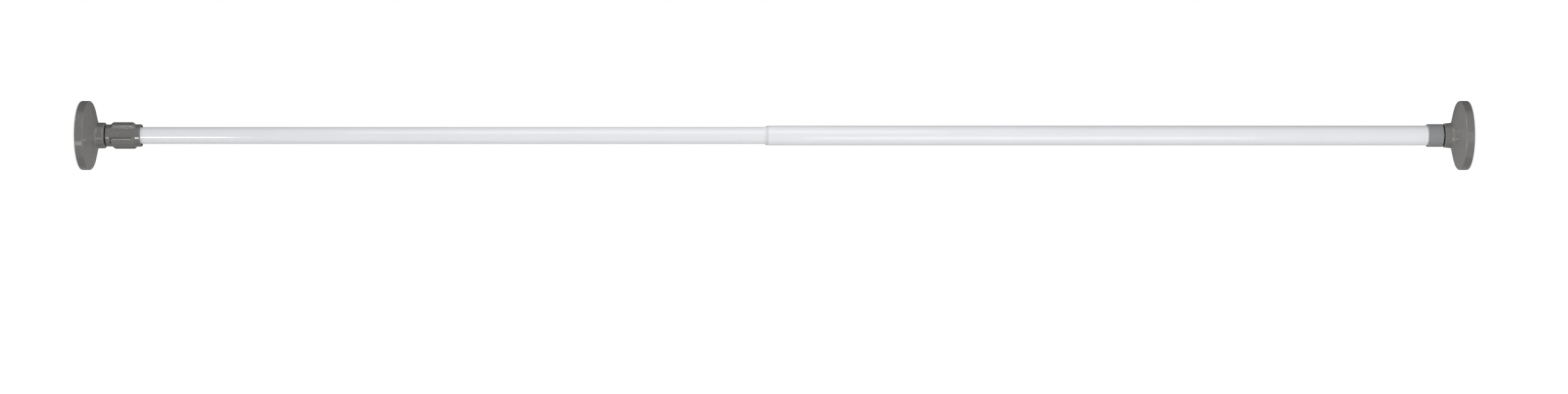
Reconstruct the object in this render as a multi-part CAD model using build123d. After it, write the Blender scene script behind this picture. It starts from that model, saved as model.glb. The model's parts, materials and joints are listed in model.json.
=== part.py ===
from build123d import *
import math
import os

# Telescopic tension rod with a screw jack at its left end, in millimetres.
# The rod lies along X. The origin is the middle of the right wall face and +Z is up.

# Steel tubes
outer_tube_dia = 28.0
tube_wall = 0.8
tubes_apart = 1.2
tube_edge_round = 0.3
outer_tube_shown = 937.7
inner_tube_shown = 887.6

# Wall pads, measured along the rod from the wall
pad_dia = 98.4
pad_length = 34.0
rim_width = 11.5
rim_wall_round = 1.0
rim_cone_round = 2.2
cone_angle = 17.5
neck_root_dia = 36.6
neck_root_round = 5.0
left_neck_end_dia = 37.0
left_neck_end_round = 3.0
right_neck_end_dia = 33.8
right_neck_end_round = 1.2
pad_shell = 2.5
pad_rib_plates = 4
pad_rib_thickness = 2.0
sheet_thickness = 1.5
sheet_inset = 0.7
sheet_edge_round = 0.4

# Ball joint in each pad
ball_dia = 18.0
ball_from_neck_end = 9.5
ball_shank_dia = 11.0
ball_clearance = 0.15
retainer_dia = 27.0
retainer_mouth_dia = 15.2
retainer_flare_dia = 18.0
retainer_recess = 1.0
swivel_gap = 1.6

# Socket on the right end of the outer tube
socket_wall = 2.15
socket_length = 21.8
socket_end_wall = 3.0
socket_lip = 1.4
socket_lip_round = 1.1
socket_lip_depth = 2.5
socket_end_round = 1.0
socket_spigot_length = 12.0
socket_spigot_wall = 4.1
stud_root_round = 1.2

# Guide ring in the left end of the outer tube
ring_flange_step = 0.2
ring_flange_length = 4.6
ring_nose_round = 1.4
ring_joint_round = 0.6
ring_sleeve_length = 25.0

# Twist lock on the right end of the inner tube
lock_spigot_length = 20.0
lock_spigot_wall = 3.15
lock_shoulder_room = 0.4
lock_shoulder_length = 3.0
lock_shoulder_gap = 0.3
lock_eccentricity = 1.2
lock_cam_thin_wall = 2.9
lock_journal_length = 20.0
lock_journal_play = 0.5
lock_slot = 3.0
lock_groove_width = 1.2
lock_groove_depth = 0.4
lock_groove_count = 3
lock_washer_ledge = 2.5
lock_washer_thickness = 1.5
lock_screw_dia = 4.0
lock_screw_length = 15.0
lock_screw_head_dia = 8.4
lock_screw_head_height = 3.0
lock_screw_slot_width = 1.2
lock_screw_slot_depth = 1.4

# Ribbed jack grip
grip_length = 49.2
grip_wall = 2.65
grip_flare = 0.25
grip_left_round = 0.5
grip_right_round = 1.2
grip_end_wall = 3.0
grip_bush_wall = 0.95
grip_lip = 1.5
grip_lip_depth = 5.0
rib_count = 4
rib_turn = 61.0
rib_height = 3.6
rib_base_width = 11.4
rib_top_width = 10.0
rib_base_length = 36.0
rib_top_length = 29.2
rib_plan_round = 3.0
rib_edge_round = 1.8
rib_root_round = 1.0
rib_middle_from_left = 24.3
pip_dome_dia = 5.0
pip_height = 0.6
pip_from_left = 17.8

# Jack screw, nut and plug
screw_flat_depth = 1.0
screw_start_gap = 1.0
screw_travel = 24.0
stop_thickness = 2.0
stop_ledge = 1.5
stop_pin_dia = 8.0
rivet_head_dia = 11.0
rivet_head_height = 1.0
stop_spare = 0.2
nut_wall = 4.0
nut_length = 12.8
nut_chamfer = 0.8
washer_room = 0.4
washer_bore_room = 0.5
washer_thickness = 1.5
plug_wall = 4.2
plug_flange_room = 0.2
plug_flange_length = 4.0
plug_spigot_length = 22.0
plug_key_length = 16.0
plug_hollow_room = 0.5

# Clearances, on the radius for round fits
fixed_clearance = 0.05
running_clearance = 0.1
thread_clearance = 0.1
key_clearance = 0.15
end_clearance = 0.1
slide_clearance = 0.15

# Radii and diameters worked out from the sizes above
outer_tube_bore_r = outer_tube_dia / 2 - tube_wall
inner_tube_dia = 2 * (outer_tube_bore_r - tubes_apart)
inner_tube_bore_r = inner_tube_dia / 2 - tube_wall
ball_r = ball_dia / 2
seat_r = ball_r + ball_clearance
ring_flange_dia = outer_tube_dia - 2 * ring_flange_step
socket_bore_r = outer_tube_dia / 2 + fixed_clearance
socket_dia = 2 * (socket_bore_r + socket_wall)
socket_spigot_dia = 2 * (outer_tube_bore_r - running_clearance)
socket_spigot_bore = socket_spigot_dia - 2 * socket_spigot_wall
lock_spigot_dia = 2 * (inner_tube_bore_r - fixed_clearance)
lock_spigot_bore = lock_spigot_dia - 2 * lock_spigot_wall
lock_shoulder_dia = 2 * (outer_tube_bore_r - lock_shoulder_room)
lock_cam_dia = 2 * (outer_tube_bore_r - running_clearance)
lock_cam_bore = lock_cam_dia - 2 * (lock_cam_thin_wall + lock_eccentricity)
lock_journal_dia = lock_cam_bore - 2 * lock_journal_play
lock_washer_dia = lock_journal_dia + 2 * lock_washer_ledge
screw_dia = 2 * (inner_tube_bore_r - plug_wall)
screw_flats = screw_dia - 2 * screw_flat_depth
stop_dia = screw_dia + 2 * stop_ledge
plug_spigot_dia = 2 * (inner_tube_bore_r - fixed_clearance)
plug_hollow_dia = stop_dia + 2 * plug_hollow_room
nut_flats = screw_dia + 2 * nut_wall
bush_bore = inner_tube_dia + 2 * running_clearance
bush_dia = bush_bore + 2 * grip_bush_wall
grip_bore_dia = bush_dia + 2 * fixed_clearance
grip_left_dia = grip_bore_dia + 2 * grip_wall
grip_right_dia = grip_left_dia + 2 * grip_flare
grip_middle_dia = (grip_left_dia + grip_right_dia) / 2
rib_top_dia = grip_middle_dia + 2 * rib_height
washer_dia = grip_bore_dia - 2 * washer_room
washer_bore = screw_dia + 2 * washer_bore_room
plug_flange_dia = grip_bore_dia - 2 * plug_flange_room

# Stations along the rod, from the right wall leftwards
right_pad_face = -sheet_thickness
right_pad_end = right_pad_face - pad_length
right_ball = right_pad_end + ball_from_neck_end
socket_end = right_pad_end - swivel_gap
outer_tube_right = socket_end - socket_end_wall
socket_mouth = socket_end - socket_length
outer_tube_left = socket_mouth - outer_tube_shown
ring_nose = outer_tube_left - ring_flange_length
ring_sleeve_end = outer_tube_left + ring_sleeve_length
inner_tube_right = ring_sleeve_end + lock_shoulder_gap
journal_start = inner_tube_right + lock_shoulder_length
journal_end = journal_start + lock_journal_length
grip_right = ring_nose - inner_tube_shown
grip_left = grip_right - grip_length
left_pad_end = grip_left - swivel_gap
left_ball = left_pad_end - ball_from_neck_end
left_pad_face = left_pad_end - pad_length
left_wall = left_pad_face - sheet_thickness

# Stations inside the jack, from the grip's left end rightwards
nut_left = grip_left + grip_end_wall + end_clearance
nut_right = nut_left + nut_length
washer_left = nut_right + end_clearance
flange_left = washer_left + washer_thickness
inner_tube_left = flange_left + plug_flange_length
key_right = flange_left + plug_key_length
bush_left = inner_tube_left + end_clearance
bush_right = grip_right - grip_lip_depth
stop_left = key_right + screw_travel + stop_spare
stop_right = stop_left + stop_thickness


def rod(x0, x1, dia, z=0.0):
    """Round bar along X between two stations."""
    return Pos((x0 + x1) / 2, 0, z) * Rot(0, 90, 0) * Cylinder(dia / 2, x1 - x0)


def turned(outline, rounds=()):
    """Solid turned about X from a closed outline of (x, radius) points.

    rounds holds a point's number in the outline and the radius of its corner.
    """
    face = make_face(Polyline(*outline, close=True))
    for number, radius in rounds:
        corner = face.vertices().sort_by_distance(Vector(*outline[number]))[0]
        face = fillet(corner, radius)
    return revolve(face, Axis.X)


def ball(x, radius):
    return Pos(x, 0, 0) * Sphere(radius)


def wall_pad(neck_end_dia, neck_end_round):
    """Moulded pad with its wall face at x = 0 and its neck towards +X."""
    rim_r = pad_dia / 2
    neck_root_r = neck_root_dia / 2
    slope = math.tan(math.radians(cone_angle))
    neck_root = rim_width + (rim_r - neck_root_r) * slope
    ball_x = pad_length - ball_from_neck_end
    body = turned(
        [
            (0, 0),
            (0, rim_r),
            (rim_width, rim_r),
            (neck_root, neck_root_r),
            (pad_length, neck_end_dia / 2),
            (pad_length, 0),
        ],
        [(4, neck_end_round), (3, neck_root_round), (2, rim_cone_round), (1, rim_wall_round)],
    )
    # The hollow behind the shell keeps one wall thickness, measured square to the cone
    inner_rim_r = rim_r - pad_shell
    inner_neck_r = neck_root_r - pad_shell
    cone_drop = pad_shell / math.cos(math.radians(cone_angle))
    floor_under = ball_x - pad_shell
    hollow = turned(
        [
            (0, 0),
            (0, inner_rim_r),
            (rim_width - cone_drop + pad_shell * slope, inner_rim_r),
            (neck_root - cone_drop + pad_shell * slope, inner_neck_r),
            (floor_under, inner_neck_r),
            (floor_under, 0),
        ]
    )
    hollow -= ball(ball_x, seat_r + pad_shell)
    plate = Box(2 * pad_length, pad_dia, pad_rib_thickness)
    for number in range(pad_rib_plates):
        hollow -= Rot(180 * number / pad_rib_plates, 0, 0) * plate
    body -= hollow
    body -= rod(ball_x, pad_length + 1, retainer_dia)
    body -= ball(ball_x, seat_r)
    return body


def ball_retainer():
    """Ring pressed into the pad's neck in front of the ball, placed as in wall_pad."""
    ball_x = pad_length - ball_from_neck_end
    mouth_r = retainer_mouth_dia / 2
    mouth = ball_x + math.sqrt(seat_r**2 - mouth_r**2)
    outer_end = pad_length - retainer_recess
    outer_r = retainer_dia / 2 - fixed_clearance
    middle_turn = (math.pi / 2 + math.asin(mouth_r / seat_r)) / 2
    seat_middle = (ball_x + seat_r * math.cos(middle_turn), seat_r * math.sin(middle_turn))
    edges = Polyline(
        (ball_x, seat_r),
        (ball_x, outer_r),
        (outer_end, outer_r),
        (outer_end, retainer_flare_dia / 2),
        (mouth, mouth_r),
    )
    edges += ThreePointArc((mouth, mouth_r), seat_middle, (ball_x, seat_r))
    return revolve(make_face(edges), Axis.X)


def grip_sheet():
    """Soft sheet on the pad's wall side, with the wall at x = 0."""
    radius = pad_dia / 2 - sheet_inset
    return turned(
        [(0, 0), (0, radius), (sheet_thickness, radius), (sheet_thickness, 0)],
        [(1, sheet_edge_round)],
    )


def on_left(piece):
    return Pos(left_pad_face, 0, 0) * piece


def on_right(piece):
    return Pos(right_pad_face, 0, 0) * Rot(0, 0, 180) * piece


def tube(x0, x1, dia, bore_r):
    """Cut length of coated tube with its outer edges broken."""
    return turned(
        [(x0, bore_r), (x0, dia / 2), (x1, dia / 2), (x1, bore_r)],
        [(1, tube_edge_round), (2, tube_edge_round)],
    )


def socket():
    """Cap on the outer tube's right end, with the ball stud that carries the pad."""
    outer_r = socket_dia / 2
    cap = turned(
        [
            (socket_end, 0),
            (socket_end, outer_r),
            (socket_mouth, outer_r),
            (socket_mouth, outer_r - socket_lip),
            (socket_mouth + socket_lip_depth, outer_r - socket_lip),
            (socket_mouth + socket_lip_depth, socket_bore_r),
            (outer_tube_right, socket_bore_r),
            (outer_tube_right, 0),
        ],
        [(1, socket_end_round), (2, socket_lip_round)],
    )
    spigot_left = outer_tube_right - socket_spigot_length
    spigot = rod(spigot_left, outer_tube_right, socket_spigot_dia)
    spigot -= rod(spigot_left, outer_tube_right, socket_spigot_bore)
    shank_r = ball_shank_dia / 2
    shank = turned(
        [
            (socket_end, 0),
            (socket_end, shank_r + stud_root_round),
            (socket_end + stud_root_round, shank_r),
            (right_ball, shank_r),
            (right_ball, 0),
        ]
    )
    return cap + spigot + shank + ball(right_ball, ball_r)


def end_ring():
    """Milky guide ring: a flange on the tube's end and a sleeve inside it."""
    bore_r = inner_tube_dia / 2 + slide_clearance
    flange_r = ring_flange_dia / 2
    sleeve_r = outer_tube_bore_r - fixed_clearance
    return turned(
        [
            (ring_nose, bore_r),
            (ring_nose, flange_r),
            (outer_tube_left, flange_r),
            (outer_tube_left, sleeve_r),
            (ring_sleeve_end, sleeve_r),
            (ring_sleeve_end, bore_r),
        ],
        [(1, ring_nose_round), (2, ring_joint_round)],
    )


def lock_core():
    """Plug in the inner tube's right end with the eccentric journal of the twist lock."""
    spigot_left = inner_tube_right - lock_spigot_length
    core = rod(spigot_left, inner_tube_right, lock_spigot_dia)
    core -= rod(spigot_left, inner_tube_right, lock_spigot_bore)
    core += rod(inner_tube_right, journal_start, lock_shoulder_dia)
    core += rod(journal_start, journal_end, lock_journal_dia, lock_eccentricity)
    hole_dia = lock_screw_dia + 2 * fixed_clearance
    hole_end = journal_end - lock_screw_length + lock_washer_thickness - end_clearance
    return core - rod(hole_end, journal_end, hole_dia, lock_eccentricity)


def lock_cam():
    """Split eccentric ring that rides on the journal and jams in the outer tube."""
    cam_left = journal_start + end_clearance
    cam_right = journal_end - end_clearance
    cam = rod(cam_left, cam_right, lock_cam_dia)
    cam -= rod(cam_left, cam_right, lock_cam_bore, lock_eccentricity)
    pitch = (cam_right - cam_left) / (lock_groove_count + 1)
    for number in range(lock_groove_count):
        middle = cam_left + pitch * (number + 1)
        groove_left = middle - lock_groove_width / 2
        groove_right = middle + lock_groove_width / 2
        groove = rod(groove_left, groove_right, outer_tube_dia)
        groove -= rod(groove_left, groove_right, lock_cam_dia - 2 * lock_groove_depth)
        cam -= groove
    slot = Box(2 * lock_journal_length, lock_slot, outer_tube_dia)
    return cam - Pos((cam_left + cam_right) / 2, 0, outer_tube_dia / 2) * slot


def lock_washer():
    washer = rod(journal_end, journal_end + lock_washer_thickness, lock_washer_dia, lock_eccentricity)
    hole_dia = lock_screw_dia + 2 * slide_clearance
    return washer - rod(journal_end, journal_end + lock_washer_thickness, hole_dia, lock_eccentricity)


def lock_screw():
    head_left = journal_end + lock_washer_thickness
    head_right = head_left + lock_screw_head_height
    screw = rod(head_left - lock_screw_length, head_left, lock_screw_dia, lock_eccentricity)
    screw += rod(head_left, head_right, lock_screw_head_dia, lock_eccentricity)
    for turn in (0, 90):
        blade = Box(2 * lock_screw_slot_depth, lock_screw_slot_width, lock_screw_head_dia * 0.7)
        screw -= Pos(head_right, 0, lock_eccentricity) * Rot(turn, 0, 0) * blade
    return screw


def hex_bar(x0, x1, flats):
    prism = extrude(RegularPolygon(flats / 2, 6, major_radius=False), x1 - x0)
    return Pos(x0, 0, 0) * Rot(0, 90, 0) * prism


def grip_rib():
    """One raised rib on the grip, standing towards -Y, drafted on all four sides."""
    top_r = rib_top_dia / 2
    root_r = grip_bore_dia / 2 + end_clearance
    widening = (rib_base_width - rib_top_width) / rib_height
    lengthening = (rib_base_length - rib_top_length) / rib_height
    outlines = []
    for radius in (root_r, top_r):
        length = rib_top_length + lengthening * (top_r - radius)
        width = rib_top_width + widening * (top_r - radius)
        face = RectangleRounded(length, width, rib_plan_round)
        outlines.append(Pos(0, -radius, 0) * Rot(90, 0, 0) * face)
    block = loft(outlines)
    top_face = block.faces().sort_by(Axis.Y)[0]
    block = fillet(top_face.edges(), rib_edge_round)
    return Pos(grip_left + rib_middle_from_left, 0, 0) * block


def jack_grip():
    """Ribbed hand grip that turns the nut."""
    left_r = grip_left_dia / 2
    right_r = grip_right_dia / 2
    body = turned(
        [(grip_left, 0), (grip_left, left_r), (grip_right, right_r), (grip_right, 0)],
        [(1, grip_left_round), (2, grip_right_round)],
    )
    for number in range(rib_count):
        rib = Rot(-(rib_turn + 360 * number / rib_count), 0, 0) * grip_rib()
        ribbed = body + rib
        body = fillet(new_edges(body, rib, combined=ribbed), rib_root_round)
    pip_x = grip_left + pip_from_left
    pip_r = left_r + (right_r - left_r) * pip_from_left / grip_length
    pip_turn = rib_turn - 180 / rib_count
    pip = Pos(0, pip_dome_dia / 2 - pip_r - pip_height, 0) * ball(pip_x, pip_dome_dia / 2)
    body += Rot(-pip_turn, 0, 0) * pip
    pocket_flats = nut_flats + 2 * fixed_clearance
    pocket_left = grip_left + grip_end_wall
    body -= hex_bar(pocket_left, nut_right, pocket_flats)
    body -= rod(nut_right, grip_right, grip_bore_dia)
    body -= rod(grip_left, pocket_left, screw_dia + 2 * thread_clearance + 2 * key_clearance)
    # The lip stands clear of the inner tube round the grip's mouth
    return body - rod(bush_right, grip_right, grip_right_dia - 2 * grip_lip)


def jack_nut():
    """Hexagon nut held in the grip; the screw's thread is drawn as a plain bore."""
    corner_r = nut_flats / 2 / math.cos(math.pi / 6)
    blank = hex_bar(nut_left, nut_right, nut_flats)
    blank &= turned(
        [
            (nut_left, 0),
            (nut_left, corner_r - nut_chamfer),
            (nut_left + nut_chamfer / 2, corner_r),
            (nut_right - nut_chamfer / 2, corner_r),
            (nut_right, corner_r - nut_chamfer),
            (nut_right, 0),
        ]
    )
    return blank - rod(nut_left, nut_right, screw_dia + 2 * thread_clearance)


def thrust_washer():
    return rod(washer_left, flange_left, washer_dia) - rod(washer_left, flange_left, washer_bore)


def grip_bush():
    """Sleeve in the grip's mouth that runs on the inner tube and holds the plug's flange in."""
    return rod(bush_left, bush_right, bush_dia) - rod(bush_left, bush_right, bush_bore)


def flatted_bar(x0, x1, dia, flats):
    """Round bar with two flats, above and below."""
    return rod(x0, x1, dia) & (Pos((x0 + x1) / 2, 0, 0) * Box(x1 - x0, dia, flats))


def jack_plug():
    """Plug in the inner tube's left end; its flatted bore keeps the screw from turning."""
    spigot_right = inner_tube_left + plug_spigot_length
    plug = rod(flange_left, inner_tube_left, plug_flange_dia)
    plug += rod(inner_tube_left, spigot_right, plug_spigot_dia)
    plug -= rod(key_right, spigot_right, plug_hollow_dia)
    key_dia = screw_dia + 2 * key_clearance
    key_flats = screw_flats + 2 * key_clearance
    return plug - flatted_bar(flange_left, key_right, key_dia, key_flats)


def jack_screw():
    """Jack screw with its ball end and stop pin; the thread is drawn at its full diameter."""
    shank_left = left_pad_end + screw_start_gap
    step = (screw_dia - ball_shank_dia) / 2
    neck_r = ball_shank_dia / 2
    neck = turned(
        [
            (left_ball, 0),
            (left_ball, neck_r),
            (shank_left, neck_r),
            (shank_left + step, neck_r + step),
            (shank_left + step, 0),
        ]
    )
    neck &= Pos(left_ball, 0, 0) * Box(4 * pad_length, pad_dia, screw_flats)
    shank = flatted_bar(shank_left + step, stop_left, screw_dia, screw_flats)
    pin = rod(stop_left, stop_right + rivet_head_height, stop_pin_dia)
    head = rod(stop_right, stop_right + rivet_head_height, rivet_head_dia)
    return ball(left_ball, ball_r) + neck + shank + pin + head


def jack_stop():
    """Washer riveted on the screw's inner end, which stops it leaving the nut."""
    hole_dia = stop_pin_dia + 2 * fixed_clearance
    return rod(stop_left, stop_right, stop_dia) - rod(stop_left, stop_right, hole_dia)


pieces = {
    "outer_tube": tube(outer_tube_left, outer_tube_right, outer_tube_dia, outer_tube_bore_r),
    "end_ring": end_ring(),
    "right_socket": socket(),
    "right_pad": on_right(wall_pad(right_neck_end_dia, right_neck_end_round)),
    "right_ball_retainer": on_right(ball_retainer()),
    "right_grip_sheet": grip_sheet().mirror(Plane.YZ),
    "lock_cam": lock_cam(),
    "inner_tube": tube(inner_tube_left, inner_tube_right, inner_tube_dia, inner_tube_bore_r),
    "lock_core": lock_core(),
    "lock_washer": lock_washer(),
    "lock_screw": lock_screw(),
    "jack_plug": jack_plug(),
    "thrust_washer": thrust_washer(),
    "jack_grip": jack_grip(),
    "jack_nut": jack_nut(),
    "grip_bush": grip_bush(),
    "jack_screw": jack_screw(),
    "jack_stop": jack_stop(),
    "left_pad": on_left(wall_pad(left_neck_end_dia, left_neck_end_round)),
    "left_ball_retainer": on_left(ball_retainer()),
    "left_grip_sheet": Pos(left_wall, 0, 0) * grip_sheet(),
}

os.makedirs("parts", exist_ok=True)
for name, piece in pieces.items():
    export_step(piece, f"parts/{name}.step")

print("left wall face at", round(left_wall, 3), "mm")
print("ball centres at", round(left_ball, 3), "and", round(right_ball, 3), "mm")
print("grip middle at", round((grip_left + grip_right) / 2, 3), "mm")
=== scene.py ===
import json
import math

import bpy
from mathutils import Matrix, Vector


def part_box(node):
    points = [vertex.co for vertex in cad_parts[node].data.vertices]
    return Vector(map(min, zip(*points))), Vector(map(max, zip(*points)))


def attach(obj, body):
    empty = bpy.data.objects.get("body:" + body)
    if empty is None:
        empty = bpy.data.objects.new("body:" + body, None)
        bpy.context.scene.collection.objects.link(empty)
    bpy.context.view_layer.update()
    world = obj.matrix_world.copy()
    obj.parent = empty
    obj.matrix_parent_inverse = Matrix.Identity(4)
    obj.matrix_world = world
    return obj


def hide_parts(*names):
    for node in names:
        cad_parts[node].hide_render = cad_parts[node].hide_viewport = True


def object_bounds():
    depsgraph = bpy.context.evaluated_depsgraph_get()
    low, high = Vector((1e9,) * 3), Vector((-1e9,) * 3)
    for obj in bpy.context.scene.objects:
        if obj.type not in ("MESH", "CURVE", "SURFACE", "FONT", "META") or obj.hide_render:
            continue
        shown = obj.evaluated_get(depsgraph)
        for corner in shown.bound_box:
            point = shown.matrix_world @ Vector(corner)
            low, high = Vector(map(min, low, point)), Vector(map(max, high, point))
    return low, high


# Telescopic tension rod: white enamelled tubes, warm grey pads and a ribbed screw jack.
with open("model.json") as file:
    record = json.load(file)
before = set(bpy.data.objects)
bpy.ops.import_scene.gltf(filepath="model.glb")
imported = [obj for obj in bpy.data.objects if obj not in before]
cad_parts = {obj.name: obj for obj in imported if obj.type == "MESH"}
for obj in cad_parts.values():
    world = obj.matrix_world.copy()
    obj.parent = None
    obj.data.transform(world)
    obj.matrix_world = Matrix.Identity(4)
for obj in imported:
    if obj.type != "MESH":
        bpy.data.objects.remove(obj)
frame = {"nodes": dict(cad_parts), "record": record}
cad_low, cad_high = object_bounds()

# Real sizes in metres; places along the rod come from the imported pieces
TUBE_WALL = 0.0008
TUBE_EDGE_ROUND = 0.0003
BALL_DIA = 0.018
SCREW_DIA = 0.014
SCREW_FLATS = 0.012
SCREW_NECK_DIA = 0.011
SCREW_SHANK_LENGTH = 0.0583
SCREW_PIN_DIA = 0.008
SCREW_PITCH = 0.003
THREAD_DEPTH = 0.0013
THREAD_CLEARANCE = 0.0001
RIVET_HEAD_DIA = 0.011
RIVET_HEAD_HEIGHT = 0.001
RIVET_CHAMFER = 0.0005
STOP_THICKNESS = 0.002
NUT_FLATS = 0.022
NUT_CHAMFER = 0.0008

# Shares of half a pitch that the thread's root and its sloping flank take up
THREAD_ROOT_SHARE = 0.32
THREAD_FLANK_SHARE = 0.36

# How finely the round pieces are divided
TUBE_SEGMENTS = 128
SCREW_SEGMENTS = 96
ROWS_PER_PITCH = 12
ARC_STEPS = 6
BALL_STEPS = 24
SHARP_EDGE_DEGREES = 35

# Thread rows nearer to an end than this share of a step are left out
END_SPARE = 0.1
# Smallest divisor, where a direction runs along a flat
TINY = 1e-6

# Length of one band of the wave texture at scale 1, in metres
WAVE_BAND = 2 * math.pi / 20


def linear(hex_code):
    """Linear RGBA of an sRGB hex colour."""
    channels = [int(hex_code[i:i + 2], 16) / 255 for i in (1, 3, 5)]
    return [c / 12.92 if c <= 0.04045 else ((c + 0.055) / 1.055) ** 2.4 for c in channels] + [1.0]


def per_mm(size_mm):
    """Texture scale that makes one feature size_mm wide, for coordinates in metres."""
    return 1000 / size_mm


def add(tree, kind, settings=None, links=None):
    """Add a node, give its sockets or properties their values and link its inputs."""
    node = tree.nodes.new(kind)
    for name, value in (settings or {}).items():
        if isinstance(name, int) or name in node.inputs:
            node.inputs[name].default_value = value
        else:
            setattr(node, name, value)
    for name, source in (links or {}).items():
        tree.links.new(source, node.inputs[name])
    return node


def start_material(name):
    """Empty node material with its own tree."""
    material = bpy.data.materials.new(name)
    material.use_nodes = True
    material.node_tree.nodes.clear()
    return material, material.node_tree


def finish_material(
    tree, colours, colour_by, depth_mm, relief_by, shader_values, roughness=None, gloss_by=None
):
    """Join a material's patterns: its tone, its relief and, if it varies, its roughness.

    colours are the tones where colour_by is 0 and 1, roughness the values where gloss_by is.
    """
    # The mix node's colours are its inputs 6 and 7 and its output 2
    tone = add(
        tree,
        "ShaderNodeMix",
        {"data_type": "RGBA", 6: linear(colours[0]), 7: linear(colours[1])},
        {0: colour_by},
    )
    relief = add(
        tree,
        "ShaderNodeBump",
        {"Strength": 1.0, "Distance": depth_mm / 1000},
        {"Height": relief_by},
    )
    links = {"Base Color": tone.outputs[2], "Normal": relief.outputs["Normal"]}
    if gloss_by:
        gloss = add(
            tree,
            "ShaderNodeMapRange",
            {"To Min": roughness[0], "To Max": roughness[1]},
            {"Value": gloss_by},
        )
        links["Roughness"] = gloss.outputs["Result"]
    shader = add(tree, "ShaderNodeBsdfPrincipled", shader_values, links)
    add(tree, "ShaderNodeOutputMaterial", links={"Surface": shader.outputs["BSDF"]})


def moulded(name, colours, flow_mm, grain_mm, grain_depth_mm, roughness, shader_values):
    """Injection-moulded plastic: colour drifts along the melt flow, the skin has the mould's grain.

    colours are the darker and lighter tone, roughness the lowest and highest value.
    """
    material, tree = start_material(name)
    place = add(tree, "ShaderNodeTexCoord").outputs["Object"]
    flow = add(
        tree, "ShaderNodeTexNoise", {"Scale": per_mm(flow_mm), "Detail": 3.0}, {"Vector": place}
    )
    grain = add(
        tree, "ShaderNodeTexNoise", {"Scale": per_mm(grain_mm), "Detail": 2.0}, {"Vector": place}
    )
    finish_material(
        tree,
        colours=colours,
        colour_by=flow.outputs["Fac"],
        depth_mm=grain_depth_mm,
        relief_by=grain.outputs["Fac"],
        shader_values=shader_values,
        roughness=roughness,
        gloss_by=grain.outputs["Fac"],
    )
    return material


def warm_grey_abs():
    """ABS moulded in a polished tool: warm mid grey, semi-gloss, crisp highlights on every edge."""
    return moulded(
        "moulded_warm_grey_abs",
        ("#646361", "#6c6b69"),
        flow_mm=9.0,
        grain_mm=1.6,
        grain_depth_mm=0.0005,
        roughness=(0.1, 0.13),
        shader_values={"IOR": 1.54},
    )


def cool_grey_nylon():
    """Nylon moulded in a fine-eroded tool: cooler, lighter grey, satin sheen and soft highlights."""
    return moulded(
        "moulded_cool_grey_nylon",
        ("#7e8082", "#868889"),
        flow_mm=7.0,
        grain_mm=1.2,
        grain_depth_mm=0.006,
        roughness=(0.36, 0.46),
        shader_values={"IOR": 1.53},
    )


def milky_polypropylene():
    """Unfilled polypropylene: milky, so light spreads a little inside it and edges go dull."""
    return moulded(
        "milky_polypropylene",
        ("#cecfd0", "#d7d8d9"),
        flow_mm=5.0,
        grain_mm=1.0,
        grain_depth_mm=0.01,
        roughness=(0.3, 0.42),
        shader_values={
            "IOR": 1.49,
            "Subsurface Weight": 0.25,
            "Subsurface Radius": (0.0012, 0.0012, 0.0013),
        },
    )


def natural_acetal():
    """Natural acetal: slippery creamy white with a low waxy gloss."""
    return moulded(
        "natural_acetal",
        ("#dcdad2", "#e6e4dd"),
        flow_mm=6.0,
        grain_mm=1.0,
        grain_depth_mm=0.01,
        roughness=(0.3, 0.4),
        shader_values={"IOR": 1.48},
    )


def black_acetal():
    """Black acetal: near-black, low waxy gloss.

    Its black is painted shade: it stands in for the shadow in the narrow gap round the ball,
    so the joint reads as a dark line.
    """
    return moulded(
        "black_acetal",
        ("#1c1c1c", "#232323"),
        flow_mm=6.0,
        grain_mm=1.0,
        grain_depth_mm=0.01,
        roughness=(0.3, 0.4),
        shader_values={"IOR": 1.48},
    )


def eva_foam():
    """Closed-cell EVA sheet: matt off-white with fine open cells where the foam was slit."""
    # Real cells are near 0.2 mm; they are drawn coarser so that they show
    cell_mm = 0.9
    cell_depth_mm = 0.08
    cloud_mm = 14.0
    material, tree = start_material("white_eva_foam")
    place = add(tree, "ShaderNodeTexCoord").outputs["Object"]
    cells = add(tree, "ShaderNodeTexVoronoi", {"Scale": per_mm(cell_mm)}, {"Vector": place})
    cloud = add(
        tree, "ShaderNodeTexNoise", {"Scale": per_mm(cloud_mm), "Detail": 3.0}, {"Vector": place}
    )
    finish_material(
        tree,
        colours=("#dfdfdb", "#ececea"),
        colour_by=cloud.outputs["Fac"],
        depth_mm=cell_depth_mm,
        relief_by=cells.outputs["Distance"],
        shader_values={"IOR": 1.45, "Roughness": 0.85, "Sheen Weight": 0.15},
    )
    return material


def enamelled_steel():
    """Steel tube with baked white enamel: deep gloss, faint orange peel and a slightly blue white."""
    peel_mm = 3.0
    peel_depth_mm = 0.0015
    drift_mm = 70.0
    material, tree = start_material("white_enamelled_steel")
    place = add(tree, "ShaderNodeTexCoord").outputs["Object"]
    peel = add(
        tree, "ShaderNodeTexNoise", {"Scale": per_mm(peel_mm), "Detail": 1.0}, {"Vector": place}
    )
    drift = add(
        tree, "ShaderNodeTexNoise", {"Scale": per_mm(drift_mm), "Detail": 2.0}, {"Vector": place}
    )
    finish_material(
        tree,
        colours=("#e5e6e9", "#eaebee"),
        colour_by=drift.outputs["Fac"],
        depth_mm=peel_depth_mm,
        relief_by=peel.outputs["Fac"],
        shader_values={"IOR": 1.5},
        roughness=(0.09, 0.13),
        gloss_by=drift.outputs["Fac"],
    )
    return material


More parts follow.
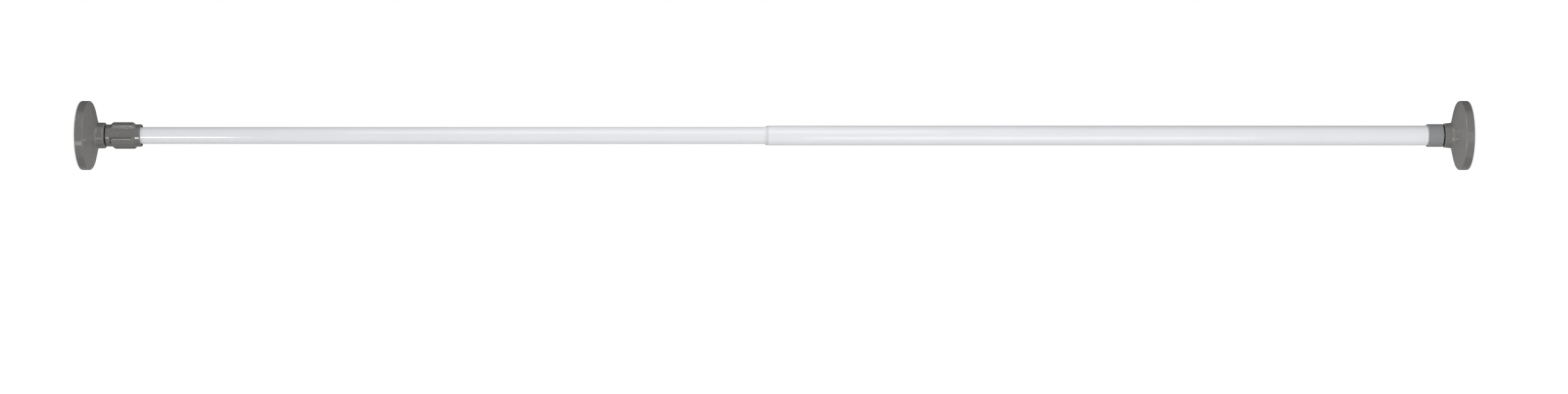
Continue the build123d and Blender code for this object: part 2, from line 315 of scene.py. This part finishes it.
def zinc_plated_steel():
    """Turned steel with clear zinc plating: bright grey metal with a faint blue-yellow cast.

    Lines from the turning run round it and catch the light.
    """
    # Real turning lines are near 0.1 mm apart; they are drawn coarser so that they show
    line_mm = 2.4
    line_depth_mm = 0.01
    cast_mm = 5.0
    material, tree = start_material("zinc_plated_steel")
    place = add(tree, "ShaderNodeTexCoord").outputs["Object"]
    cast = add(
        tree, "ShaderNodeTexNoise", {"Scale": per_mm(cast_mm), "Detail": 2.0}, {"Vector": place}
    )
    lines = add(
        tree,
        "ShaderNodeTexWave",
        {"bands_direction": "X", "Scale": per_mm(line_mm) * WAVE_BAND, "Distortion": 0.4},
        {"Vector": place},
    )
    finish_material(
        tree,
        colours=("#b9bec6", "#cbc7ba"),
        colour_by=cast.outputs["Fac"],
        depth_mm=line_depth_mm,
        relief_by=lines.outputs["Fac"],
        shader_values={"Metallic": 1.0},
        roughness=(0.24, 0.4),
        gloss_by=lines.outputs["Fac"],
    )
    return material


finishes = {
    "coated_steel": enamelled_steel(),
    "milky_polypropylene": milky_polypropylene(),
    "cool_grey_nylon": cool_grey_nylon(),
    "warm_grey_abs": warm_grey_abs(),
    "natural_acetal": natural_acetal(),
    "black_acetal": black_acetal(),
    "white_eva": eva_foam(),
    "zinc_steel": zinc_plated_steel(),
}
slot_of = {part["node"]: part["material_slot"] for part in frame["record"]["subparts"]}
bodies = frame["record"]["behaviour"]["bodies"]
body_of = {node: body for body, nodes in bodies.items() for node in nodes}

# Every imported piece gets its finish
for node_name, piece in frame["nodes"].items():
    for material_slot in piece.material_slots:
        material_slot.material = finishes[slot_of[node_name]]


def round_piece(node, rows, segments, closed):
    """Mesh round the rod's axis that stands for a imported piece.

    rows are (x, radius) pairs along the outline; a radius is a number or a function of the angle.
    A closed outline joins its last row to its first, an open one ends in two points on the axis.
    """
    points = []
    rings = []
    for x, radius in rows:
        ring = []
        for step in range(segments):
            angle = 2 * math.pi * step / segments
            r = radius(angle) if callable(radius) else radius
            ring.append(len(points))
            points.append((x, r * math.cos(angle), r * math.sin(angle)))
        rings.append(ring)
    faces = []
    pairs = list(zip(rings, rings[1:]))
    if closed:
        pairs.append((rings[-1], rings[0]))
    for near, far in pairs:
        for step in range(segments):
            following = (step + 1) % segments
            faces.append((near[step], far[step], far[following], near[following]))
    if not closed:
        for ring, end_x, outward in ((rings[0], rows[0][0], -1), (rings[-1], rows[-1][0], 1)):
            tip = len(points)
            points.append((end_x, 0.0, 0.0))
            for step in range(segments):
                following = (step + 1) % segments
                edge = (ring[step], ring[following])
                faces.append((tip, *edge) if outward > 0 else (tip, *reversed(edge)))
    mesh = bpy.data.meshes.new(node + "_mesh")
    mesh.from_pydata(points, [], faces)
    mesh.validate()
    mesh.shade_smooth()
    mesh.set_sharp_from_angle(angle=math.radians(SHARP_EDGE_DEGREES))
    piece = bpy.data.objects.new(node + "_piece", mesh)
    bpy.context.scene.collection.objects.link(piece)
    mesh.materials.append(finishes[slot_of[node]])
    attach(piece, body_of[node])
    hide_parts(node)
    return piece


def quarter_round(x, r, radius, along):
    """Rows of a rounded outer edge; along is +1 where the piece lies towards +X of the edge."""
    rows = []
    for step in range(ARC_STEPS + 1):
        turn = math.pi / 2 * step / ARC_STEPS
        rows.append((x + along * radius * (1 - math.sin(turn)), r - radius * (1 - math.cos(turn))))
    return rows


def tube_piece(node):
    """Enamelled tube with the true wall and broken outer edges."""
    low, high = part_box(node)
    outer = high.z
    bore = outer - TUBE_WALL
    left = quarter_round(low.x, outer, TUBE_EDGE_ROUND, 1)
    right = quarter_round(high.x, outer, TUBE_EDGE_ROUND, -1)
    # A row just inside each edge keeps the long wall's shading straight
    wall = [(low.x + 2 * TUBE_EDGE_ROUND, outer), (high.x - 2 * TUBE_EDGE_ROUND, outer)]
    rows = [(low.x, bore)] + list(reversed(left)) + wall + right + [(high.x, bore)]
    return round_piece(node, rows, TUBE_SEGMENTS, closed=True)


def thread_rise(x, angle):
    """Height of the jack's trapezoid thread at a place, 0 in the root and 1 on the crest."""
    turn = (x / SCREW_PITCH - angle / (2 * math.pi)) % 1.0
    from_root = abs(turn - 0.5) * 2
    return min(max((from_root - THREAD_ROOT_SHARE) / THREAD_FLANK_SHARE, 0.0), 1.0)


def thread_places(start, end):
    """Places of a thread's rows, on one grid along the rod so that screw and nut match."""
    step = SCREW_PITCH / ROWS_PER_PITCH
    first = math.ceil(start / step + END_SPARE)
    last = math.floor(end / step - END_SPARE)
    return [start] + [step * place for place in range(first, last + 1)] + [end]


def flatted(radius, angle):
    """Radius cut back to the two flats above and below."""
    return min(radius, SCREW_FLATS / 2 / max(abs(math.sin(angle)), TINY))


def screw_piece():
    """Jack screw: ball end, neck, flatted trapezoid thread and the riveted pin that holds the stop."""
    low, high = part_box("jack_screw")
    ball_r = BALL_DIA / 2
    ball_x = low.x + ball_r
    neck_r = SCREW_NECK_DIA / 2
    crest_r = SCREW_DIA / 2
    pin_r = SCREW_PIN_DIA / 2
    rivet_r = RIVET_HEAD_DIA / 2
    rivet_left = high.x - RIVET_HEAD_HEIGHT
    shank_right = rivet_left - STOP_THICKNESS
    shank_left = shank_right - SCREW_SHANK_LENGTH
    rows = []
    last_turn = math.pi - math.asin(neck_r / ball_r)
    for step in range(1, BALL_STEPS + 1):
        turn = last_turn * step / BALL_STEPS
        rows.append((ball_x - ball_r * math.cos(turn), ball_r * math.sin(turn)))
    rows.append((shank_left, neck_r))
    for x in thread_places(shank_left, shank_right)[1:]:
        # The thread starts with a 45 degree cone
        outside = min(crest_r, neck_r + x - shank_left)

        def radius(angle, x=x, outside=outside):
            cut = THREAD_DEPTH * (1 - thread_rise(x, angle))
            return flatted(min(outside, crest_r - cut), angle)

        rows.append((x, radius))
    rows.append((shank_right, pin_r))
    rows.append((rivet_left, pin_r))
    rows.append((rivet_left, rivet_r))
    rows.append((high.x - RIVET_CHAMFER, rivet_r))
    rows.append((high.x, rivet_r - RIVET_CHAMFER))
    round_piece("jack_screw", rows, SCREW_SEGMENTS, closed=False)


def nut_piece():
    """Hexagon nut with chamfered corners and the thread that drives the screw."""
    low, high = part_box("jack_nut")
    flat_r = NUT_FLATS / 2
    corner_r = flat_r / math.cos(math.pi / 6)
    root_r = SCREW_DIA / 2 + THREAD_CLEARANCE

    def outside(limit):
        def radius(angle):
            # The hexagon has a flat facing along Y
            from_flat = (angle + math.pi / 6) % (math.pi / 3) - math.pi / 6
            return min(flat_r / math.cos(from_flat), limit)

        return radius

    rows = []
    for x in reversed(thread_places(low.x, high.x)):

        def bore(angle, x=x):
            return root_r - THREAD_DEPTH * (1 - thread_rise(x, angle))

        rows.append((x, bore))
    rows.append((low.x, outside(corner_r - NUT_CHAMFER)))
    rows.append((low.x + NUT_CHAMFER / 2, outside(corner_r)))
    rows.append((high.x - NUT_CHAMFER / 2, outside(corner_r)))
    rows.append((high.x, outside(corner_r - NUT_CHAMFER)))
    round_piece("jack_nut", rows, SCREW_SEGMENTS, closed=True)


tubes = [tube_piece("outer_tube"), tube_piece("inner_tube")]
screw_piece()
nut_piece()

# Camera: level with the rod, square to it, far enough to see the pads' faces at about 13 degrees.
PHOTO_WIDTH = 2500
PHOTO_HEIGHT = 628
LEFT_WALL_COLUMN = 129.75
RIGHT_WALL_COLUMN = 2340.4
ROD_ROW = 216
CAMERA_DISTANCE = 4.2
SENSOR_WIDTH = 36.0

rod_length = cad_high.x - cad_low.x
metres_per_pixel = rod_length / (RIGHT_WALL_COLUMN - LEFT_WALL_COLUMN)
picture_middle_x = cad_low.x + (PHOTO_WIDTH / 2 - LEFT_WALL_COLUMN) * metres_per_pixel
drop = (PHOTO_HEIGHT / 2 - ROD_ROW) * metres_per_pixel

camera_data = bpy.data.cameras.new("camera")
camera_data.sensor_width = SENSOR_WIDTH
camera_data.lens = SENSOR_WIDTH * CAMERA_DISTANCE / (PHOTO_WIDTH * metres_per_pixel)
camera = bpy.data.objects.new("camera", camera_data)
camera.location = (picture_middle_x, -CAMERA_DISTANCE, 0.0)
camera.rotation_euler = (math.pi / 2 - math.atan(drop / CAMERA_DISTANCE), 0.0, 0.0)
bpy.context.scene.collection.objects.link(camera)
bpy.context.scene.camera = camera

# Studio: broad fills in front, above and behind, small lamps and glowing cards for the highlights,
# a pale floor well under the rod, a white surround and a cloth that only reflections show.
AMBIENT = 0.44
SIDE_LIGHT_SPREAD_DEGREES = 30
FLOOR_Z = -1.6
FLOOR_HALF = 60.0
ROOM_LEFT = -6.0
ROOM_RIGHT = 4.0
ROOM_FRONT = -1.6
ROOM_DARKEST = 0.5
ROOM_BACK = 4.0
ROOM_TOP = 4.0
ROOM_BOTTOM = -4.0
CLOTH_LIGHT = 1.0
CLOTH_DARK = 0.1
CLOTH_LOW = 0.45
CLOTH_RISE_START = 0.5
CLOTH_RISE_END = -2.0


def around_rod(x, elevation, distance):
    """Place at a distance from the rod's axis; elevation counts from the camera's side."""
    turn = math.radians(elevation)
    return Vector((x, -distance * math.cos(turn), distance * math.sin(turn)))


def put_lamp(name, light, place, aim):
    """Put a light in the studio, out of the camera's sight, to shine along aim."""
    lamp = bpy.data.objects.new(name, light)
    lamp.location = place
    lamp.rotation_euler = aim.to_track_quat("-Z", "Y").to_euler()
    lamp.visible_camera = False
    bpy.context.scene.collection.objects.link(lamp)
    return lamp


def softbox(name, x, elevation, distance, width, height, radiance, diffuse=True, glossy=True):
    """Soft area light aimed at the rod's axis.

    diffuse and glossy tell whether it lights the surfaces and whether they mirror it.
    """
    light = bpy.data.lights.new(name, "AREA")
    light.shape = "RECTANGLE"
    light.size = width
    light.size_y = height
    light.energy = radiance * math.pi * width * height
    place = around_rod(x, elevation, distance)
    lamp = put_lamp(name, light, place, Vector((x, 0.0, 0.0)) - place)
    lamp.visible_diffuse = diffuse
    lamp.visible_glossy = glossy
    return lamp


def side_light(name, travels, strength):
    """Wide soft light along the rod, which reaches the pads' cones; travels is its way along X."""
    light = bpy.data.lights.new(name, "SUN")
    light.energy = strength
    light.angle = math.radians(SIDE_LIGHT_SPREAD_DEGREES)
    lamp = put_lamp(name, light, Vector(), Vector((travels, 0.0, 0.0)))
    lamp.visible_glossy = False
    return lamp


def pass_over(lamp, pieces):
    """Keep a lamp's light off some pieces."""
    receivers = bpy.data.collections.new(lamp.name + "_receivers")
    for piece in pieces:
        receivers.objects.link(piece)
    for receiver in receivers.collection_objects:
        receiver.light_linking.link_state = "EXCLUDE"
    lamp.light_linking.receiver_collection = receivers


def start_glowing_material(name):
    """Empty material for a sheet that glows; taken for a lamp, it would make grain on the tubes."""
    material, tree = start_material(name)
    material.cycles.emission_sampling = "NONE"
    return material, tree


def pale_floor():
    """Matt white floor paper; the camera sees it lifted to the white of the surround."""
    material, tree = start_glowing_material("white_floor_paper")
    path = add(tree, "ShaderNodeLightPath")
    paper = add(tree, "ShaderNodeBsdfDiffuse", {"Color": linear("#f2f2f2")})
    lift = add(
        tree,
        "ShaderNodeEmission",
        {"Color": linear("#ffffff")},
        {"Strength": path.outputs["Is Camera Ray"]},
    )
    both = add(tree, "ShaderNodeAddShader", links={0: paper.outputs[0], 1: lift.outputs[0]})
    add(tree, "ShaderNodeOutputMaterial", links={"Surface": both.outputs[0]})
    return material


def studio_cloth():
    """Cloth round the studio that shows only in reflections.

    It is white towards the camera and dark beside and behind the rod, but lighter low down, which
    draws the edges of the grey pieces without a hard line.
    """
    material, tree = start_glowing_material("studio_cloth")
    place = add(tree, "ShaderNodeNewGeometry").outputs["Position"]
    along = add(tree, "ShaderNodeSeparateXYZ", links={"Vector": place})
    fade = add(
        tree,
        "ShaderNodeMapRange",
        {
            "interpolation_type": "SMOOTHSTEP",
            "From Min": ROOM_FRONT,
            "From Max": ROOM_DARKEST,
            "To Min": CLOTH_LIGHT,
            "To Max": CLOTH_DARK,
        },
        {"Value": along.outputs["Y"]},
    )
    rise = add(
        tree,
        "ShaderNodeMapRange",
        {
            "From Min": CLOTH_RISE_START,
            "From Max": CLOTH_RISE_END,
            "To Min": CLOTH_DARK,
            "To Max": CLOTH_LOW,
        },
        {"Value": along.outputs["Z"]},
    )
    tone = add(
        tree,
        "ShaderNodeMath",
        {"operation": "MAXIMUM"},
        {0: fade.outputs["Result"], 1: rise.outputs["Result"]},
    )
    glow = add(
        tree, "ShaderNodeEmission", {"Color": linear("#ffffff")}, {"Strength": tone.outputs[0]}
    )
    add(tree, "ShaderNodeOutputMaterial", links={"Surface": glow.outputs[0]})
    return material


def stage_sheet(name, corners, material):
    """Flat four-cornered sheet of the studio."""
    mesh = bpy.data.meshes.new(name)
    mesh.from_pydata(corners, [], [(0, 1, 2, 3)])
    mesh.materials.append(material)
    sheet = bpy.data.objects.new(name, mesh)
    bpy.context.scene.collection.objects.link(sheet)
    return sheet


def reflected_sheet(name, corners, material):
    """Sheet of the studio that shows in glossy surfaces only."""
    sheet = stage_sheet(name, corners, material)
    sheet.visible_camera = False
    sheet.visible_diffuse = False
    sheet.visible_shadow = False
    sheet.visible_transmission = False


def glow_card(name, x, elevation, distance, width, height, radiance):
    """Glowing card aimed at the rod's axis, which shows as a soft band in the glossy tubes."""
    material, tree = start_glowing_material(name + "_paper")
    glow = add(tree, "ShaderNodeEmission", {"Color": linear("#ffffff"), "Strength": radiance})
    add(tree, "ShaderNodeOutputMaterial", links={"Surface": glow.outputs[0]})
    turn = math.radians(elevation)
    middle = around_rod(x, elevation, distance)
    across = Vector((width / 2, 0.0, 0.0))
    up = Vector((0.0, math.sin(turn), math.cos(turn))) * height / 2
    low, high = middle - up, middle + up
    corners = [low - across, low + across, high + across, high - across]
    reflected_sheet(name, corners, material)


# Fills, which light the surfaces and are not mirrored
for name, x, elevation, distance, width, height, radiance in (
    ("front_fill", -0.65, 8, 3.2, 1.6, 1.0, 9.6),
    ("top_fill", -1.15, 90, 0.775, 0.5, 0.3, 3.4),
    ("back_fill", -1.0, 180, 3.2, 2.0, 1.0, 5.5),
):
    softbox(name, x, elevation, distance, width, height, radiance, glossy=False)
# Highlights, which are mirrored and light nothing else
highlights = {}
for name, x, elevation, distance, width, height, radiance in (
    ("low_strip", -2.166, -26, 1.5, 0.218, 0.36, 20.0),
    ("left_low_glint", -3.1, -52, 1.78, 0.65, 0.5, 22.0),
    ("left_high_glint", -3.1, 60, 2.2, 0.65, 0.5, 14.0),
):
    highlights[name] = softbox(name, x, elevation, distance, width, height, radiance, diffuse=False)
# The glints and side lights are for the grey mouldings; on the long tubes they would make grain
pass_over(highlights["left_low_glint"], tubes)
pass_over(highlights["left_high_glint"], tubes)
pass_over(side_light("left_side_light", travels=1, strength=2.0), tubes)
pass_over(side_light("right_side_light", travels=-1, strength=2.4), tubes)
# The pale sheet on the left wall face has enough light without this one
cone_light = side_light("right_cone_light", travels=1, strength=2.0)
pass_over(cone_light, [frame["nodes"]["left_grip_sheet"], *tubes])

# Surround: white to the camera and in reflections, dimmer as light on the rod
world = bpy.data.worlds.new("studio")
bpy.context.scene.world = world
world.use_nodes = True
sky = world.node_tree
sky.nodes.clear()
rays = add(sky, "ShaderNodeLightPath")
shiny = add(
    sky,
    "ShaderNodeMath",
    {"operation": "MAXIMUM"},
    {0: rays.outputs["Is Glossy Ray"], 1: rays.outputs["Is Transmission Ray"]},
)
seen = add(
    sky,
    "ShaderNodeMath",
    {"operation": "MAXIMUM"},
    {0: rays.outputs["Is Camera Ray"], 1: shiny.outputs[0]},
)
room = add(sky, "ShaderNodeBackground", {"Color": linear("#ffffff"), "Strength": AMBIENT})
white = add(sky, "ShaderNodeBackground", {"Color": linear("#ffffff"), "Strength": 1.0})
surround = add(
    sky,
    "ShaderNodeMixShader",
    links={0: seen.outputs[0], 1: room.outputs[0], 2: white.outputs[0]},
)
add(sky, "ShaderNodeOutputWorld", links={"Surface": surround.outputs[0]})

glow_card("high_card", x=-1.27, elevation=43, distance=2.0, width=1.25, height=1.2, radiance=2.6)
glow_card("right_card", x=0.95, elevation=-5, distance=2.9, width=0.6, height=1.6, radiance=2.2)
glow_card("low_card", x=-0.49, elevation=-31, distance=1.5, width=0.85, height=0.8, radiance=3.5)

floor = stage_sheet(
    "floor",
    [
        (-FLOOR_HALF, -FLOOR_HALF, FLOOR_Z),
        (FLOOR_HALF, -FLOOR_HALF, FLOOR_Z),
        (FLOOR_HALF, FLOOR_HALF, FLOOR_Z),
        (-FLOOR_HALF, FLOOR_HALF, FLOOR_Z),
    ],
    pale_floor(),
)
floor.visible_glossy = False

# Curtains: cloth on five sides of the rod, open towards the camera
cloth = studio_cloth()
left_front, left_back = (ROOM_LEFT, ROOM_FRONT), (ROOM_LEFT, ROOM_BACK)
right_front, right_back = (ROOM_RIGHT, ROOM_FRONT), (ROOM_RIGHT, ROOM_BACK)
curtains = {}
for side, (start, end) in {
    "left": (left_front, left_back),
    "back": (left_back, right_back),
    "right": (right_back, right_front),
}.items():
    low_edge = [(*start, ROOM_BOTTOM), (*end, ROOM_BOTTOM)]
    high_edge = [(*end, ROOM_TOP), (*start, ROOM_TOP)]
    curtains[side] = low_edge + high_edge
for side, z in {"over": ROOM_TOP, "under": ROOM_BOTTOM}.items():
    curtains[side] = [(*corner, z) for corner in (left_front, left_back, right_back, right_front)]
for side, corners in curtains.items():
    reflected_sheet(side + "_curtain", corners, cloth)

bpy.context.scene.view_settings.view_transform = "Standard"
